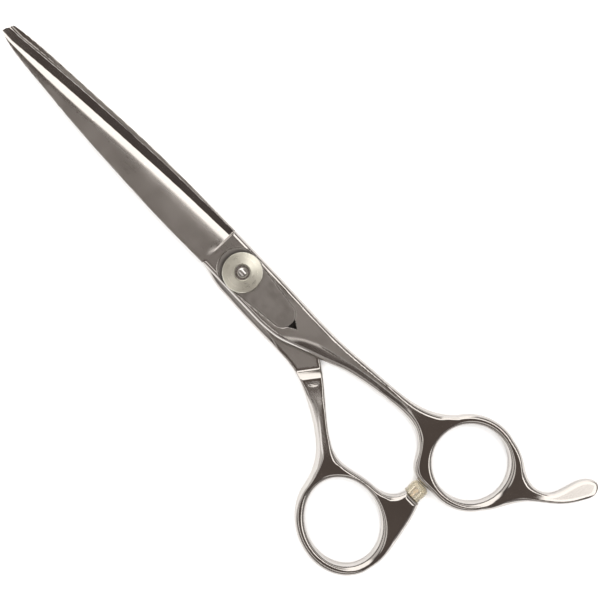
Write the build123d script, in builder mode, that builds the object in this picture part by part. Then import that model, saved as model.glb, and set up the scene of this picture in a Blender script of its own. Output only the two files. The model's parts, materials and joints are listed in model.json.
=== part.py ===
from build123d import *
import os
from math import acos, cos, sin

# Hair cutting shears, closed, lying on their rear face. Millimetres.
# Origin: on the pivot axis, in the rear face. +X runs from the pivot to the rings and the tips point to -X,
# +Y is the finger ring's side, +Z comes out of the front, where the dial is.

# ---- driving dimensions ----
HALF_T = 3.0            # thickness of each half at the pivot
RUN_GAP = 0.01          # each half stays this far from the plane where the two meet
FRONT_Z = 2 * HALF_T
FINGER_Z = HALF_T + RUN_GAP
THUMB_Z = HALF_T - RUN_GAP

SHOULDER_X = -9.0       # where the blades begin
TIP_T = 1.25            # thickness of a blade at its tip
ROOT_T = HALF_T - RUN_GAP   # thickness of a blade's spine at its shoulder, flush with the pivot's face
EDGE_LAND = 0.12        # height left at the cutting edge
OVERLAP = 1.0           # how far a blade runs on into the body of its half
FLAT_SHARE = 0.45       # flat share of the outer face, from spine to ridge; then it begins to fall
FALL_SLOPE = 0.07       # mean slope from there to the ridge
CROWN_SLOPE = 0.21      # slope of the narrow crown past the ridge
BEVEL_SLOPE = 0.6       # steepest slope of the long bevel past the crown
BEVEL_SHARE = 0.75      # share of the bevel before the short steep facet at the cutting edge
BEVEL_PAST = 0.3        # how far that facet runs on past the edge, as a share of its width

FINGER_HOLE = (76.0, 8.45)
FINGER_HOLE_R = 10.0
FINGER_RING_R = 12.5
THUMB_HOLE = (64.0, -25.65)
THUMB_HOLE_A = 11.35
THUMB_HOLE_B = 9.7
THUMB_RING_A = 14.15
THUMB_RING_B = 12.2
THUMB_TURN = -25.5      # the long axis of the thumb ring, degrees from +X
EDGE_FILLET = 0.8       # rounding of the handle's edges

SCREW_R = 2.5
SCREW_FLAT = 2.0        # pivot axis to each flat on the screw
THREAD_R = 1.9
POINT_R = 1.5           # turned-down end that shows in the dial
HEAD_R = 4.3
HEAD_SINK = 0.1         # how far the screw head lies below the rear face
HEAD_T = 0.8
HEAD_BEVEL = 0.25
SLOT_W = 0.8            # screwdriver slot across the head
SLOT_DEPTH = 0.45
POINT_ROUND = 0.45
POINT_SINK = 0.1        # how far the screw's end lies below the dial's face
FIT = 0.05              # radial running clearance
BUSH_R = 3.2

DIAL_R = 5.2
DIAL_T = 1.3
DIAL_BEVEL = 0.2
DIAL_WASHER_R = 3.6
DIAL_EYE_R = 1.95       # opening in the dial's face round the screw's end
EYE_DEPTH = 0.6
DIAL_CLICKS = 12
CLICK_RING_R = 4.3
CLICK_R = 0.35
NIB_R = 0.6             # raised nib of the leaf spring, which drops into the dial's dimples
NIB_RISE = 0.18
RECESS_X = -1.6         # centre of the recess's large round end
RECESS_R = 5.3
RECESS_DEPTH = 0.65     # so that the dial clears the front face
SPRING_T = 0.5
SPRING_GAP = 0.12       # round the edge of the leaf spring
SPRING_END_X = 15.0     # centre of the leaf spring's small round end
SPRING_END_R = 3.18
NOTCH_X = 18.6          # centre of the triangular notch at the spring's small end
NOTCH_R = 1.5           # notch centre to its corners
NOTCH_DEPTH = 2.3
WASHER_T = 0.2

BUMPER_X = 71.7
BUMPER_R = 2.5
BUMPER_BASE_Y = -8.5
BUMPER_TOP_Y = -4.4
BUMPER_NOSE = 1.3       # rounding of its free end
BUMPER_FOOT = 0.25
POST_R = 1.0
POST_IN_BUMPER = 2.6
POST_IN_ARM = 3.0

# Each blade from shoulder to tip: x, spine y, ridge y, crown y, cutting edge y.
# From spine to ridge the outer face is nearly flat; the crown is narrow, and the bevel follows it to the edge.
FINGER_BLADE = [
    (-9.0, -5.7, 2.75, 4.3, 5.95),
    (-28.0, -5.85, 1.75, 3.3, 5.35),
    (-44.0, -5.43, 0.65, 2.15, 4.5),
    (-60.0, -4.72, -0.9, 0.9, 3.25),
    (-74.0, -3.7, -1.8, -0.4, 1.85),
    (-84.0, -2.65, -2.1, -1.5, 0.75),
]
FINGER_TIP = (-88.0, -1.0)
THUMB_BLADE = [
    (-9.0, 6.1, -2.6, -4.1, -5.7),
    (-28.0, 5.88, -1.6, -3.1, -5.15),
    (-44.0, 5.3, -0.5, -2.0, -4.3),
    (-60.0, 4.2, 0.8, -0.7, -3.05),
    (-74.0, 3.2, 1.6, 0.3, -1.65),
    (-84.0, 2.13, 1.75, 1.2, -0.5),
]
THUMB_TIP = (-87.7, 0.9)

ARM_X = (69.9, 74.3)    # the two sides of the bumper's arm where the bumper sits
SCOOP_AWAY = (0.808, -0.589)    # direction from the pivot along the rear half's neck
SCOOP_START = 27.0      # along that direction, where the neck starts to rise to the shank
SCOOP_BEND = (1.1, 0.7)  # a point of the rise's hollow curve, from its start
SCOOP_END = 29.4
SHANK_TOP = 4.75         # just past the rise
FRICTION_R = 5.4
FRICTION_T = 0.3

SKY = 20.0              # comfortably past every face, for cutting solids


def blade_plan(stations, tip):
    """Closed plan of a blade: splines along the spine and the cutting edge, and a small round nose."""
    spine = [(x, s) for x, s, r, c, e in stations]
    edge = [(x, e) for x, s, r, c, e in stations]
    back = SHOULDER_X + OVERLAP
    with BuildLine() as plan:
        spine_line = Spline(*spine)
        edge_line = Spline(*edge)
        Spline(spine_line @ 1, tip, edge_line @ 1, tangents=[spine_line % 1, (edge_line % 1) * -1])
        Polyline(spine[0], (back, spine[0][1]), (back, edge[0][1]), edge[0])
    return plan.line


def blade_section(x, spine, ridge, crown, edge, contact_z, out):
    """Cross-section of a blade at x, a little wider than the plan that trims it.

    out is +1 when the outer face looks to +Z and -1 when it looks to -Z.
    """
    side = 1.0 if spine > edge else -1.0
    reach = max(0, (x - SHOULDER_X) / (FINGER_TIP[0] - SHOULDER_X))
    spine_t = ROOT_T + (TIP_T - ROOT_T) * reach
    flat_y = spine + FLAT_SHARE * (ridge - spine)
    ridge_t = spine_t - FALL_SLOPE * abs(ridge - flat_y)
    crown_t = ridge_t - CROWN_SLOPE * abs(crown - ridge)
    bevel_y = crown + BEVEL_SHARE * (edge - crown)
    slope = min(BEVEL_SLOPE, 0.8 * (crown_t - EDGE_LAND) / abs(edge - crown))
    bevel_t = crown_t - slope * abs(bevel_y - crown)
    past_y = edge + BEVEL_PAST * (edge - bevel_y)
    past_t = EDGE_LAND - BEVEL_PAST * (bevel_t - EDGE_LAND)
    profile = [
        (spine + side, -SKY),
        (spine + side, spine_t),
        (flat_y, spine_t),
        (ridge, ridge_t),
        (crown, crown_t),
        (bevel_y, bevel_t),
        (past_y, past_t),
        (past_y, -SKY),
    ]
    return [(y, contact_z + out * h) for y, h in profile]


def across(x):
    """Plane across the shears at x, its own x along +Y and its own y along +Z."""
    return Plane(origin=(x, 0, 0), x_dir=(0, 1, 0), z_dir=(1, 0, 0))


def blade_envelope(stations, tip, contact_z, out):
    """The ground outer face of a blade, as a long solid that its plan is trimmed by."""
    before = (SHOULDER_X + OVERLAP, *stations[0][1:])
    beyond = (tip[0] - 1.0, *stations[-1][1:])
    with BuildPart() as envelope:
        for station in [before] + stations[1:] + [beyond]:
            with BuildSketch(across(station[0])):
                with BuildLine():
                    Polyline(*blade_section(*station, contact_z, out), close=True)
                make_face()
        loft(ruled=True)
    return envelope.part


def side_profile(points):
    """A side view, drawn in x and z, as a solid that runs right across the shears."""
    with BuildPart() as slab:
        with BuildSketch(Plane.XZ):
            with BuildLine():
                Polyline(*points, close=True)
            make_face()
        extrude(amount=60, both=True)
    return slab.part


def spring_plan(grow):
    """Tapering plan with a large round end at the pivot, two tangent sides and a small round end."""
    big = RECESS_R - SPRING_GAP + grow
    small = SPRING_END_R + grow
    turn = acos((big - small) / (SPRING_END_X - RECESS_X))
    big_x, big_y = RECESS_X + big * cos(turn), big * sin(turn)
    small_x, small_y = SPRING_END_X + small * cos(turn), small * sin(turn)
    with BuildLine() as plan:
        ThreePointArc((big_x, big_y), (RECESS_X - big, 0), (big_x, -big_y))
        Line((big_x, -big_y), (small_x, -small_y))
        ThreePointArc((small_x, -small_y), (SPRING_END_X + small, 0), (small_x, small_y))
        Line((small_x, small_y), (big_x, big_y))
    return plan.line


def ground_blade(stations, tip, contact_z, out):
    """One blade as a solid: its plan, trimmed to the ground outer face."""
    outline = blade_plan(stations, tip)
    envelope = blade_envelope(stations, tip, contact_z, out)
    with BuildPart() as blade:
        with BuildSketch(Plane.XY.offset(contact_z)):
            make_face(outline.edges())
        extrude(amount=out * HALF_T)
        add(envelope, mode=Mode.INTERSECT)
    return blade.part


# ---- front half: finger ring and finger rest ----
finger_blade = ground_blade(FINGER_BLADE, FINGER_TIP, FINGER_Z, 1)
recess_plan = spring_plan(SPRING_GAP)
finger_reliefs = [
    side_profile([
        (-SKY, -1), (-SKY, FINGER_Z), (31.0, FINGER_Z), (35.0, 1.2), (41.0, 0.6), (57.0, 0.5), (63.0, -1),
    ]),
    side_profile([(28.0, 7), (36.0, 5.5), (46.0, 5.3), (57.0, 5.6), (63.0, 7)]),
    side_profile([(86.0, -1), (93.0, 0.9), (107.0, 1.5), (107.0, -1)]),
    side_profile([(86.0, 7), (93.0, 5.2), (107.0, 4.8), (107.0, 7)]),
]

with BuildPart() as finger_half:
    with BuildSketch(Plane.XY):
        with BuildLine():
            top = CenterArc(FINGER_HOLE, FINGER_RING_R, 150, -75)
            base = CenterArc(FINGER_HOLE, FINGER_RING_R, -32, -60)
            upper = Spline(
                (8, 6.1), (20, 5.85), (32, 6.02), (40, 6.78), (48, 7.56), (54, 8.45), (59, 10.1),
                (62.5, 12.2), top @ 0,
            )
            rest = Spline(
                top @ 1, (82.3, 19.8), (85.0, 18.6), (88.3, 16.7), (92.3, 16.0), (95.8, 17.6), (97.4, 20.8),
                (98.4, 24.4), (100.0, 27.3), (102.4, 28.4), (103.9, 26.3), (102.9, 22.8), (100.4, 18.9),
                (96.8, 15.4), (93.2, 12.1), (90.6, 8.2), (88.6, 4.5), base @ 0,
            )
            lower = Spline(
                base @ 1, (72.0, -4.15), (68.6, -4.05), (66.4, -2.5), (64.6, 0.3), (62.4, 2.7),
                (59.5, 4.2), (56, 4.72), (49, 4.2), (42, 2.98), (36, 1.42), (30.5, -0.8), (25, -2.9),
                (19, -5.0), (12, -5.85),
            )
            Polyline(lower @ 1, (SHOULDER_X, -5.75), (SHOULDER_X, 6.1), upper @ 0)
        make_face()
    extrude(amount=FRONT_Z)
    add(finger_reliefs, mode=Mode.SUBTRACT)
    with BuildSketch(Plane.XY):
        with Locations(FINGER_HOLE):
            Circle(FINGER_HOLE_R)
    extrude(amount=FRONT_Z, mode=Mode.SUBTRACT)
    rims = finger_half.edges().filter_by(lambda e: e.is_closed)
    fillet(rims, EDGE_FILLET)
    with BuildSketch(Plane.XY.offset(FRONT_Z - RECESS_DEPTH)):
        make_face(recess_plan.edges())
    extrude(amount=RECESS_DEPTH, mode=Mode.SUBTRACT)
    with BuildSketch(Plane.XY.offset(FRONT_Z - NOTCH_DEPTH)):
        with Locations((NOTCH_X, 0)):
            RegularPolygon(radius=NOTCH_R, side_count=3)
    extrude(amount=NOTCH_DEPTH, mode=Mode.SUBTRACT)
    with BuildSketch(Plane.XY):
        Circle(SCREW_R + FIT)
        Rectangle(2 * SKY, 2 * (SCREW_FLAT + FIT), mode=Mode.INTERSECT)
    extrude(amount=FRONT_Z, mode=Mode.SUBTRACT)
    add(finger_blade)
finger_half.part.label = "finger_half"

# ---- rear half: thumb ring and the arm of the bumper ----
thumb_blade = ground_blade(THUMB_BLADE, THUMB_TIP, THUMB_Z, -1)
scoop_dir = Vector(SCOOP_AWAY).normalized()
with BuildPart() as scoop:
    with BuildSketch(Plane(origin=(0, 0, 0), x_dir=scoop_dir, z_dir=scoop_dir.cross(Vector(0, 0, 1)))):
        with BuildLine():
            foot = (SCOOP_START, THUMB_Z)
            bend = (SCOOP_START + SCOOP_BEND[0], THUMB_Z + SCOOP_BEND[1])
            rise = ThreePointArc(foot, bend, (SCOOP_END, SHANK_TOP))
            Polyline(
                rise @ 1, (33.0, 4.8), (39.0, 5.4), (52.0, 5.5), (56.0, 7), (-60, 7), (-60, THUMB_Z), rise @ 0,
            )
        make_face()
    extrude(amount=60, both=True)
thumb_under = side_profile([(34.0, -1), (38.0, 0.5), (52.0, 0.5), (57.0, -1)])

with BuildPart() as thumb_half:
    with BuildSketch(Plane.XY):
        with BuildLine():
            ring = EllipticalCenterArc(
                THUMB_HOLE, THUMB_RING_A, THUMB_RING_B, start_angle=5, arc_size=-148, rotation=THUMB_TURN,
            )
            lower = Spline(
                ring @ 1, (49.9, -24.4), (48.6, -21.4), (46.5, -18.4), (43.6, -15.8), (40, -13.35),
                (36, -11.2), (32, -9.3), (28, -8.0), (23, -7.45), (16, -7.5), (8, -7.5), (1, -7.3),
            )
            hip = Spline(lower @ 1, (-3.5, -6.95), (-6.5, -6.2), (SHOULDER_X, -5.85))
            upper = Spline(
                (6, 5.95), (13, 5.65), (18, 4.7), (22.5, 3.1), (26.5, 1.1), (30, -1.1), (34, -3.9), (38, -7.1),
                (42, -10.3), (46, -13.2), (50, -15.1), (54, -15.4), (58, -14.5), (62, -13.75),
                (65.3, -13.3), (67.6, -12.2), (69.1, -10.6), (ARM_X[0], BUMPER_BASE_Y),
            )
            back = Spline(
                (ARM_X[1], BUMPER_BASE_Y), (75.6, -12.0), (76.7, -16.5), (77.6, -21.0), (78.05, -25.5),
                ring @ 0,
            )
            Polyline(hip @ 1, (SHOULDER_X, 5.95), upper @ 0)
            Line(upper @ 1, back @ 0)
        make_face()
    extrude(amount=FRONT_Z)
    add([scoop.part, thumb_under], mode=Mode.SUBTRACT)
    with BuildSketch(Plane.XY):
        with Locations(THUMB_HOLE):
            Ellipse(THUMB_HOLE_A, THUMB_HOLE_B, rotation=THUMB_TURN)
    extrude(amount=FRONT_Z, mode=Mode.SUBTRACT)
    rims = thumb_half.edges().filter_by(lambda e: e.is_closed)
    fillet(rims, EDGE_FILLET)
    with BuildSketch(Plane.XY):
        Circle(BUSH_R)
    extrude(amount=HALF_T, mode=Mode.SUBTRACT)
    with BuildSketch(Plane.XY):
        Circle(HEAD_R + SPRING_GAP)
    extrude(amount=HEAD_SINK + HEAD_T + WASHER_T, mode=Mode.SUBTRACT)
    with BuildSketch(Plane.XY.offset(THUMB_Z)):
        Circle(FRICTION_R + SPRING_GAP)
    extrude(amount=-FRICTION_T, mode=Mode.SUBTRACT)
    with BuildSketch(Plane.XZ.offset(-BUMPER_BASE_Y)):
        with Locations((BUMPER_X, HALF_T)):
            Circle(POST_R)
    extrude(amount=POST_IN_ARM, mode=Mode.SUBTRACT)
    add(thumb_blade)
thumb_half.part.label = "thumb_half"

# ---- pivot: screw, bushing and washers, from the rear forwards ----
head_top = HEAD_SINK + HEAD_T
spring_z = FRONT_Z - RECESS_DEPTH
washer_z = spring_z + SPRING_T
dial_z = washer_z + WASHER_T
eye_z = dial_z + DIAL_T - EYE_DEPTH

with BuildPart() as pivot_screw:
    with BuildSketch(Plane.XY.offset(HEAD_SINK)):
        Circle(HEAD_R)
    extrude(amount=HEAD_T)
    with BuildSketch(Plane.XY.offset(head_top)):
        Circle(SCREW_R)
    extrude(amount=FINGER_Z - head_top)
    with BuildSketch(Plane.XY.offset(FINGER_Z)):
        Circle(SCREW_R)
        Rectangle(2 * SKY, 2 * SCREW_FLAT, mode=Mode.INTERSECT)
    extrude(amount=spring_z - FINGER_Z)
    with BuildSketch(Plane.XY.offset(spring_z)):
        Circle(THREAD_R)
    extrude(amount=eye_z - spring_z)
    with BuildSketch(Plane.XY.offset(eye_z)):
        Circle(POINT_R)
    extrude(amount=EYE_DEPTH - POINT_SINK)
    fillet(pivot_screw.edges().group_by(Axis.Z)[-1], POINT_ROUND)
    chamfer(pivot_screw.edges().group_by(Axis.Z)[0], HEAD_BEVEL)
    with BuildSketch(Plane.XY.offset(HEAD_SINK)):
        Rectangle(2 * SKY, SLOT_W)
    extrude(amount=SLOT_DEPTH, mode=Mode.SUBTRACT)
pivot_screw.part.label = "pivot_screw"


def flat_ring(inner_r, outer_r, low_z, thickness):
    """A plain flat washer on the pivot axis."""
    with BuildPart() as ring_part:
        with BuildSketch(Plane.XY.offset(low_z)):
            Circle(outer_r)
            Circle(inner_r, mode=Mode.SUBTRACT)
        extrude(amount=thickness)
    return ring_part.part


rear_washer = flat_ring(SCREW_R + FIT, HEAD_R, head_top, WASHER_T)
rear_washer.label = "rear_washer"
bush_z = head_top + WASHER_T
pivot_bushing = flat_ring(SCREW_R + FIT, BUSH_R, bush_z, THUMB_Z - bush_z)
pivot_bushing.label = "pivot_bushing"
friction_washer = flat_ring(BUSH_R + FIT, FRICTION_R, THUMB_Z - FRICTION_T, FRICTION_T)
friction_washer.label = "friction_washer"
dial_washer = flat_ring(THREAD_R + FIT, DIAL_WASHER_R, washer_z, WASHER_T)
dial_washer.label = "dial_washer"

with BuildPart() as leaf_spring:
    with BuildSketch(Plane.XY.offset(spring_z)):
        make_face(spring_plan(0).edges())
        Circle(THREAD_R + FIT, mode=Mode.SUBTRACT)
    extrude(amount=SPRING_T)
    with Locations((-CLICK_RING_R, 0, spring_z + SPRING_T - NIB_R + NIB_RISE)):
        Sphere(NIB_R)
    with BuildSketch(Plane.XY.offset(spring_z)):
        Rectangle(2 * SKY, 2 * SKY)
    extrude(amount=-SKY, mode=Mode.SUBTRACT)
leaf_spring.part.label = "leaf_spring"

with BuildPart() as tension_dial:
    with BuildSketch(Plane.XY.offset(dial_z)):
        Circle(DIAL_R)
        Circle(THREAD_R + FIT, mode=Mode.SUBTRACT)
    extrude(amount=DIAL_T)
    chamfer(tension_dial.edges().group_by(Axis.Z)[-1].sort_by(Edge.radius)[-1], DIAL_BEVEL)
    with BuildSketch(Plane.XY.offset(eye_z)):
        Circle(DIAL_EYE_R)
    extrude(amount=EYE_DEPTH, mode=Mode.SUBTRACT)
    with Locations(Plane.XY.offset(dial_z)):
        with PolarLocations(CLICK_RING_R, DIAL_CLICKS, start_angle=180):
            Sphere(CLICK_R, mode=Mode.SUBTRACT)
tension_dial.part.label = "tension_dial"

# ---- bumper on the arm of the thumb ring ----
with BuildPart() as bumper:
    with BuildSketch(Plane.XZ.offset(-BUMPER_BASE_Y)):
        with Locations((BUMPER_X, HALF_T)):
            Circle(BUMPER_R)
    extrude(amount=BUMPER_BASE_Y - BUMPER_TOP_Y)
    fillet(bumper.edges().group_by(Axis.Y)[-1], BUMPER_NOSE)
    fillet(bumper.edges().group_by(Axis.Y)[0], BUMPER_FOOT)
    with BuildSketch(Plane.XZ.offset(-BUMPER_BASE_Y)):
        with Locations((BUMPER_X, HALF_T)):
            Circle(POST_R)
    extrude(amount=-POST_IN_BUMPER, mode=Mode.SUBTRACT)
bumper.part.label = "bumper"

with BuildPart() as bumper_post:
    with BuildSketch(Plane.XZ.offset(-BUMPER_BASE_Y)):
        with Locations((BUMPER_X, HALF_T)):
            Circle(POST_R)
    extrude(amount=POST_IN_ARM)
    extrude(bumper_post.faces().sort_by(Axis.Y)[-1], amount=POST_IN_BUMPER)
bumper_post.part.label = "bumper_post"

pieces = [
    finger_half.part, thumb_half.part, pivot_screw.part, tension_dial.part, leaf_spring.part, bumper.part,
    bumper_post.part, dial_washer, pivot_bushing, friction_washer, rear_washer,
]
os.makedirs("parts", exist_ok=True)
for piece in pieces:
    export_step(piece, f"parts/{piece.label}.step")
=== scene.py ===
import json
from math import cos, pi, radians, sin

import bpy
import numpy as np
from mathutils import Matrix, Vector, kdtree


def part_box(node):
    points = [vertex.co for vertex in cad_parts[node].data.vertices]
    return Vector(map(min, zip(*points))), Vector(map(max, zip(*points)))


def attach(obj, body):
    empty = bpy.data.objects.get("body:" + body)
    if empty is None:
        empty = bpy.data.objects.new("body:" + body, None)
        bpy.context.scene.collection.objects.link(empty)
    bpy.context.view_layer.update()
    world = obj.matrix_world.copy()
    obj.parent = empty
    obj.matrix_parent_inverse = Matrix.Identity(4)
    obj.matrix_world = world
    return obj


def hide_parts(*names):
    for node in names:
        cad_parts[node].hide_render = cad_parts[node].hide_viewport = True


# Hair cutting shears on a pale table. The frame's axes: +X from the pivot to the rings, +Y to the
# finger ring's side, +Z out of the front. Shapes are worked out in millimetres from the pivot axis
# and scaled to metres.
MM = 0.001

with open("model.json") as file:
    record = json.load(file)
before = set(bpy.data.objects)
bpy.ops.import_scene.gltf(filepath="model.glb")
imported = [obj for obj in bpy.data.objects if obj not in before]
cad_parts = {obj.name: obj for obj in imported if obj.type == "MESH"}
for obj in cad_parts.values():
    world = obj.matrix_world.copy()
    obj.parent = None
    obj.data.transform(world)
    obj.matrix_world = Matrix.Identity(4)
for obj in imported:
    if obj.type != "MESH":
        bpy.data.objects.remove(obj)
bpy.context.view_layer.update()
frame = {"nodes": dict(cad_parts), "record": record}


def box_mm(node):
    """Lowest and highest corner of a CAD node, in millimetres."""
    low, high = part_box(node)
    return np.array(low) / MM, np.array(high) / MM


# ------------------------------------------------------------------ curves and plan outlines
def spline(points, step=0.12):
    """Points along a natural cubic spline through the given points."""
    p = np.array(points, float)
    t = np.concatenate([[0], np.cumsum(np.hypot(*np.diff(p, axis=0).T))])
    h = np.diff(t)
    n = len(p)
    a = np.eye(n)
    b = np.zeros((n, 2))
    for i in range(1, n - 1):
        a[i, i - 1 : i + 2] = h[i - 1], 2 * (h[i - 1] + h[i]), h[i]
        b[i] = 6 * ((p[i + 1] - p[i]) / h[i] - (p[i] - p[i - 1]) / h[i - 1])
    m = np.linalg.solve(a, b)
    s = np.linspace(0, t[-1], int(t[-1] / step) + 2)
    k = np.clip(np.searchsorted(t, s, side="right") - 1, 0, n - 2)
    hk = h[k][:, None]
    v = ((s - t[k]) / h[k])[:, None]
    u = 1 - v
    return u * p[k] + v * p[k + 1] + ((u**3 - u) * m[k] + (v**3 - v) * m[k + 1]) * hk**2 / 6


def line(*points, step=0.12):
    """Points along straight stretches between the given points."""
    out = []
    for p, q in zip(points, points[1:]):
        n = int(np.hypot(q[0] - p[0], q[1] - p[1]) / step) + 2
        out.append(np.linspace(p, q, n))
    return np.vstack(out)


def arc(centre, a, b, start, sweep, turn=0.0, step=0.12):
    """Points along an elliptical arc; angles in degrees, turn is the direction of the a axis."""
    t = np.radians(np.linspace(start, start + sweep, int(abs(radians(sweep)) * max(a, b) / step) + 2))
    c, s = cos(radians(turn)), sin(radians(turn))
    x = a * np.cos(t)
    y = b * np.sin(t)
    return np.column_stack([centre[0] + c * x - s * y, centre[1] + s * x + c * y])


def profile(*points):
    """A smooth function through (x, value) points that never overshoots them."""
    xs = np.array([p[0] for p in points], float)
    ys = np.array([p[1] for p in points], float)
    h = np.diff(xs)
    d = np.diff(ys) / h
    m = np.zeros(len(xs))
    m[0], m[-1] = d[0], d[-1]
    for i in range(1, len(xs) - 1):
        if d[i - 1] * d[i] > 0:
            m[i] = 2 * d[i - 1] * d[i] / (d[i - 1] + d[i])

    def at(x):
        x = np.clip(x, xs[0], xs[-1])
        k = np.clip(np.searchsorted(xs, x, side="right") - 1, 0, len(xs) - 2)
        v = (x - xs[k]) / h[k]
        return (
            (1 + 2 * v) * (1 - v) ** 2 * ys[k] + v * (1 - v) ** 2 * h[k] * m[k]
            + v**2 * (3 - 2 * v) * ys[k + 1] + v**2 * (v - 1) * h[k] * m[k + 1]
        )

    return at


class Plan:
    """Signed distance to a closed outline, negative inside, looked up in a fine table."""

    def __init__(self, outline, cell=0.16, margin=2.0):
        keep = np.hypot(*(outline - np.roll(outline, 1, axis=0)).T) > 1e-6
        p = outline[keep]
        self.cell = cell
        self.low = p.min(0) - margin
        nx, ny = (np.ceil((p.max(0) + margin - self.low) / cell) + 1).astype(int)
        xs = self.low[0] + cell * np.arange(nx)
        ys = self.low[1] + cell * np.arange(ny)
        tree = kdtree.KDTree(len(p))
        for i, (x, y) in enumerate(p):
            tree.insert((x, y, 0), i)
        tree.balance()
        find = tree.find
        near = np.array([find((x, y, 0))[1] for x in xs for y in ys])
        grid = np.array(np.meshgrid(xs, ys, indexing="ij")).reshape(2, -1).T
        gaps = []
        for a, b in ((near - 1, near), (near, (near + 1) % len(p))):
            d = p[b] - p[a]
            r = grid - p[a]
            t = np.clip((r * d).sum(1) / (d * d).sum(1), 0, 1)
            gaps.append(np.hypot(*(r - t[:, None] * d).T))
        dist = np.minimum(*gaps).reshape(nx, ny)
        q = np.roll(p, -1, axis=0)
        for j, y in enumerate(ys):
            hit = (p[:, 1] <= y) != (q[:, 1] <= y)
            share = (y - p[hit, 1]) / (q[hit, 1] - p[hit, 1])
            cuts = np.sort(p[hit, 0] + share * (q[hit, 0] - p[hit, 0]))
            dist[np.searchsorted(cuts, xs) % 2 == 1, j] *= -1
        self.table = dist

    def __call__(self, x, y):
        x, y = np.broadcast_arrays(x, y)
        u = np.clip((x - self.low[0]) / self.cell, 0, self.table.shape[0] - 1.001)
        v = np.clip((y - self.low[1]) / self.cell, 0, self.table.shape[1] - 1.001)
        i = u.astype(int)
        j = v.astype(int)
        u = u - i
        v = v - j
        t = self.table
        return (
            t[i, j] * (1 - u) * (1 - v) + t[i + 1, j] * u * (1 - v)
            + t[i, j + 1] * (1 - u) * v + t[i + 1, j + 1] * u * v
        )


# ------------------------------------------------------------------ signed fields, negative inside
def smooth(x, a, b):
    """0 before a, 1 after b, smooth between."""
    t = np.clip((x - a) / (b - a), 0, 1)
    return t * t * (3 - 2 * t)


def meet(a, b, r):
    """Both at once, with the edge between them rounded to radius r."""
    return np.minimum(np.maximum(a, b), -r) + np.hypot(np.maximum(a + r, 0), np.maximum(b + r, 0))


def lower_of(a, b, soft):
    """The smaller of two values, with the crease between them eased."""
    near = np.maximum(soft - np.abs(a - b), 0)
    return np.minimum(a, b) - near**2 / (4 * soft)


def eased(past, bend_squared):
    """past where it is positive and 0 where it is negative, with the corner at 0 eased."""
    return (past + np.sqrt(past**2 + bend_squared)) / 2


HALF_ROOT_2 = 0.7071


def bevelled(a, b, r, c):
    """Both at once, with a flat bevel c wide cut off the rounded edge."""
    return np.maximum(meet(a, b, r), (a + b + c) * HALF_ROOT_2)


def disc(x, y, centre, r):
    """Signed distance to a circle."""
    return np.hypot(x - centre[0], y - centre[1]) - r


def oval(x, y, centre, a, b, turn):
    """Close to the signed distance to an ellipse."""
    c, s = cos(radians(turn)), sin(radians(turn))
    u = c * (x - centre[0]) + s * (y - centre[1])
    v = -s * (x - centre[0]) + c * (y - centre[1])
    k = np.hypot(u / a, v / b) + 1e-9
    g = np.hypot(u / a**2, v / b**2) + 1e-9
    return (k - 1) * k / g


def gradient(field, p, h=0.01):
    """Unit outward normals of a field at points p."""
    x, y, z = p.T
    n = np.column_stack([
        field(x + h, y, z) - field(x - h, y, z),
        field(x, y + h, z) - field(x, y - h, z),
        field(x, y, z + h) - field(x, y, z - h),
    ])
    return n / np.maximum(np.linalg.norm(n, axis=1), 1e-9)[:, None]


ROOT_STEPS = 4
ROOT_MARGIN = 0.02      # share of the bracket kept clear at each end as it closes in on the surface
CENTRE_PULL = 0.02      # pull of a vertex towards the middle of its cell's crossings


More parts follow.
